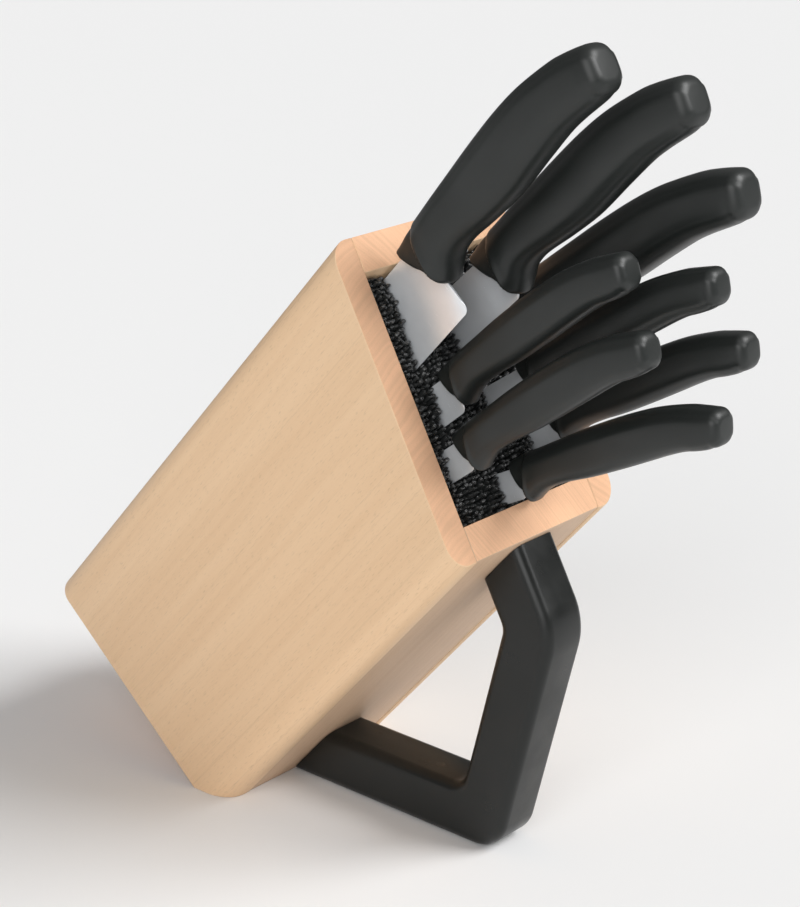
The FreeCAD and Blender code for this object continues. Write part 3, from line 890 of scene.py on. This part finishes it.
# Side view of a handle from front to butt, in millimetres. Each row is back x, back z, belly x,
# belly z, half the thickness there and the section's squareness.
HANDLES = {
    "large": (
        (-0.5, 2.6, 5.2, -12.5, 10.4, 2.6),
        (3.0, 3.2, 8.2, -20.3, 10.6, 2.5),
        (8.0, 4.2, 11.6, -23.6, 10.8, 2.4),
        (14.0, 4.5, 15.8, -21.6, 11.0, 2.4),
        (21.0, 4.8, 20.8, -18.2, 11.0, 2.5),
        (30.0, 5.4, 29.0, -17.2, 10.6, 2.7),
        (44.0, 6.3, 44.0, -18.9, 10.3, 2.9),
        (60.0, 7.3, 60.0, -20.0, 10.7, 2.9),
        (78.0, 7.7, 78.0, -19.0, 11.2, 2.9),
        (93.0, 6.8, 93.0, -18.4, 11.3, 2.9),
        (109.0, 3.9, 101.5, -19.0, 11.2, 2.9),
        (116.0, 1.7, 108.0, -19.9, 11.0, 3.0),
        (121.0, -0.3, 113.8, -20.7, 10.7, 3.0),
        (124.2, -1.8, 117.4, -20.7, 10.2, 3.0),
    ),
    "small": (
        (-0.2, 2.2, 2.4, -11.0, 7.9, 2.6),
        (3.0, 2.9, 5.0, -15.9, 8.1, 2.5),
        (6.5, 3.4, 7.6, -15.4, 8.3, 2.4),
        (11.0, 3.7, 11.4, -13.9, 8.5, 2.4),
        (17.0, 4.0, 17.0, -12.6, 8.4, 2.5),
        (26.0, 4.5, 26.0, -12.7, 8.0, 2.6),
        (38.0, 5.2, 38.0, -13.7, 7.9, 2.8),
        (52.0, 5.5, 52.0, -14.2, 8.2, 2.8),
        (66.0, 5.2, 66.0, -14.4, 8.5, 2.8),
        (78.0, 4.2, 76.5, -14.5, 8.6, 2.8),
        (90.5, 1.7, 84.5, -15.0, 8.5, 2.9),
        (96.3, -0.2, 90.0, -16.1, 8.4, 3.0),
        (100.4, -1.7, 94.6, -16.8, 8.1, 3.0),
        (103.0, -2.7, 97.6, -16.7, 7.7, 3.0),
    ),
}


CAPS = {"large": 5.2, "small": 4.0}  # how far the blunt butt stands out past the last row
CAP_STEPS = 8
WEDGES = {"large": 12.5, "small": 9.0}  # length of the slim front
PAST_WEDGE = 9.0
NOSE = 0.9
NOSE_STEPS = 5
HANDLE_SECTIONS = 110
RING_POINTS = 48


def handle_row(rows, share):
    """Row of a handle at a share of its list, smooth between the given rows."""
    position = share * (len(rows) - 1)
    return [
        curve_through([(float(n), row[column]) for n, row in enumerate(rows)], position)
        for column in range(len(rows[0]))
    ]


def handle_ring(row, shift, behind):
    """Closed section of a handle between its back and belly points. shift draws it in on all
    sides, and behind is its distance behind the front, as a share of the wedge's length."""
    back_x, back_z, belly_x, belly_z, half, square = row
    back = Vector((back_x, 0.0, back_z))
    belly = Vector((belly_x, 0.0, belly_z))
    middle = (back + belly) / 2.0
    tall = (back - belly) / 2.0
    power = 2.0 / square
    reach = max(0.0, tall.length - shift) / tall.length
    points = []
    for step in range(RING_POINTS):
        angle = 2.0 * math.pi * step / RING_POINTS
        side = math.copysign(abs(math.cos(angle)) ** power, math.cos(angle))
        rise = math.copysign(abs(math.sin(angle)) ** power, math.sin(angle))
        # The slim wedge in front of the cheek is longer at the back than at the guard.
        along = behind / (0.80 + 0.42 * rise)
        thin = 0.50 + 0.50 * eased(along, 0.70, 1.0)
        crest = 0.7 * math.exp(-(((along - 1.06) / 0.20) ** 2)) * max(0.0, 0.75 - rise)
        ledge = 1.0 - 0.075 * eased(rise, 0.50, 0.66) - 0.05 * eased(-rise, 0.62, 0.76)
        wide = half * thin * ledge + crest
        point = middle + tall * rise * reach
        point.y = side * max(0.2, wide - shift)
        points.append(point)
    return points


def handle_mesh(kind):
    """Moulded handle: slim and slanted where the blade enters, a guard, a waist, a full palm and
    a blunt butt with rounded edges."""
    rows = HANDLES[kind]
    cap = CAPS[kind]
    rings = []
    for step in range(NOSE_STEPS):
        angle = math.pi / 2.0 * step / NOSE_STEPS
        ring = handle_ring(rows[0], NOSE * (1.0 - math.sin(angle)), 0.0)
        rings.append([point - Vector((NOSE * math.cos(angle), 0.0, 0.0)) for point in ring])
    for step in range(HANDLE_SECTIONS + 1):
        row = handle_row(rows, step / HANDLE_SECTIONS)
        behind = (row[0] + row[2] - rows[0][0] - rows[0][2]) / 2.0 / WEDGES[kind]
        rings.append(handle_ring(row, 0.0, behind))
    last = rows[-1]
    axis = Vector((last[0] - last[2], 0.0, last[1] - last[3])).normalized()
    out = Vector((axis.z, 0.0, -axis.x))
    for step in range(1, CAP_STEPS + 1):
        angle = math.pi / 2.0 * step / CAP_STEPS
        ring = handle_ring(last, cap * (1.0 - math.cos(angle)), PAST_WEDGE)
        rings.append([point + out * cap * math.sin(angle) for point in ring])
    bm = bmesh.new()
    made = [[bm.verts.new(point * MM) for point in ring] for ring in rings]
    bridge(bm, made)
    for ring in (made[0], made[-1]):
        hub = bm.verts.new(sum((vertex.co for vertex in ring), Vector()) / RING_POINTS)
        for index in range(RING_POINTS):
            bm.faces.new((ring[index], ring[(index + 1) % RING_POINTS], hub))
    return bm


class HandlesOperator(bpy.types.Operator):
    """Build the eight moulded handles"""

    bl_idname = "knife_block.handles"
    bl_label = "Handles"

    def execute(self, context):
        material = moulded_black("handle_black", tuple(finishes().handle), 0.33, 0.12, 0.5)
        for name, kind, across, along, up, *blade in KNIVES:
            piece_from(
                name + "_moulded_handle", handle_mesh(kind), [material],
                knife_matrix(name, across, along, up), name,
                (name + "_handle",), 60.0,
            )
        return {"FINISHED"}


# ---------------------------------------------------------------- stage


class StageOperator(bpy.types.Operator):
    """Build the floor, the lights and the camera"""

    bl_idname = "knife_block.stage"
    bl_label = "Stage"

    def execute(self, context):
        bm = bmesh.new()
        bmesh.ops.create_grid(bm, x_segments=8, y_segments=8, size=FLOOR_HALF)
        mesh = bpy.data.meshes.new("floor")
        bm.to_mesh(mesh)
        bm.free()
        keep_place(mesh)
        tree = Tree("studio_floor", Roughness=0.85, Specular_IOR_Level=0.1)
        x, y, z = tree.place()
        base = tuple(finishes().floor)
        cloud = tree.noise(x * 0.002, y * 0.002, z)
        tree.feed("Base Color", tree.mix(cloud, base, shade(base, 1.005)))
        mesh.materials.append(tree.material)
        floor = bpy.data.objects.new("floor", mesh)
        context.collection.objects.link(floor)

        self.sky(context)
        self.lamps(context)
        self.camera(context)
        context.scene.view_settings.view_transform = "Standard"
        return {"FINISHED"}

    def sky(self, context):
        """White surroundings, brighter overhead than at the horizon."""
        world = bpy.data.worlds.new("studio")
        world.use_nodes = True
        nodes = world.node_tree.nodes
        links = world.node_tree.links
        spot = nodes.new("ShaderNodeTexCoord")
        parts = nodes.new("ShaderNodeSeparateXYZ")
        links.new(spot.outputs["Generated"], parts.inputs[0])
        height = nodes.new("ShaderNodeMapRange")
        height.interpolation_type = "SMOOTHSTEP"
        links.new(parts.outputs["Z"], height.inputs["Value"])
        for word, span in (("From", SKY_HEIGHTS), ("To", SKY_STRENGTHS)):
            height.inputs[word + " Min"].default_value = span[0]
            height.inputs[word + " Max"].default_value = span[1]
        links.new(height.outputs[0], nodes["Background"].inputs["Strength"])
        nodes["Background"].inputs["Color"].default_value = (1.0, 1.0, 1.0, 1.0)
        context.scene.world = world

    def lamps(self, context):
        """Two broad distant lamps."""
        for name, bearing, raised, soft, strength in LAMPS:
            lamp = bpy.data.lights.new(name, "SUN")
            lamp.angle = math.radians(soft)
            lamp.energy = strength
            light = bpy.data.objects.new(name, lamp)
            across, up = math.radians(bearing), math.radians(raised)
            light.location = Vector((
                math.cos(up) * math.cos(across), math.cos(up) * math.sin(across), math.sin(up)
            ))
            light.rotation_euler = (-light.location).to_track_quat("-Z", "Y").to_euler()
            context.collection.objects.link(light)

    def camera(self, context):
        """Camera on the block's near side, looking down at its rim."""
        lens = bpy.data.cameras.new("view")
        lens.sensor_fit = "HORIZONTAL"
        lens.sensor_width = SENSOR_WIDTH
        lens.lens = LENS
        lens.clip_end = 100.0
        camera = bpy.data.objects.new("view", lens)
        camera.location = CAMERA_PLACE
        camera.rotation_euler = [math.radians(part) for part in CAMERA_TURN]
        context.collection.objects.link(camera)
        context.scene.camera = camera


class SidebarPanel(bpy.types.Panel):
    """Lists the steps that build the knife block"""

    bl_idname = "VIEW3D_PT_knife_block"
    bl_label = "Knife block"
    bl_space_type = "VIEW_3D"
    bl_region_type = "UI"
    bl_category = "Knife block"

    def draw(self, context):
        for operator in OPERATORS:
            self.layout.operator(operator.bl_idname)
        for group in (sizes(), finishes()):
            for key in group.__annotations__:
                self.layout.prop(group, key)


GROUPS = (BlockSizes, Finishes)
OPERATORS = (
    StageOperator,
    BoardsOperator,
    FilamentsOperator,
    StandOperator,
    ScrewsOperator,
    BladesOperator,
    HandlesOperator,
)


def register():
    for item in GROUPS + OPERATORS + (SidebarPanel,):
        bpy.utils.register_class(item)
    bpy.types.Scene.knife_block_sizes = bpy.props.PointerProperty(type=BlockSizes)
    bpy.types.Scene.knife_block_finishes = bpy.props.PointerProperty(type=Finishes)


def unregister():
    del bpy.types.Scene.knife_block_finishes
    del bpy.types.Scene.knife_block_sizes
    for item in reversed(GROUPS + OPERATORS + (SidebarPanel,)):
        bpy.utils.unregister_class(item)


def main():
    register()
    for operator in OPERATORS:
        group, _, call = operator.bl_idname.partition(".")
        getattr(getattr(bpy.ops, group), call)()
    bpy.context.view_layer.update()


if __name__ == "__main__":
    main()
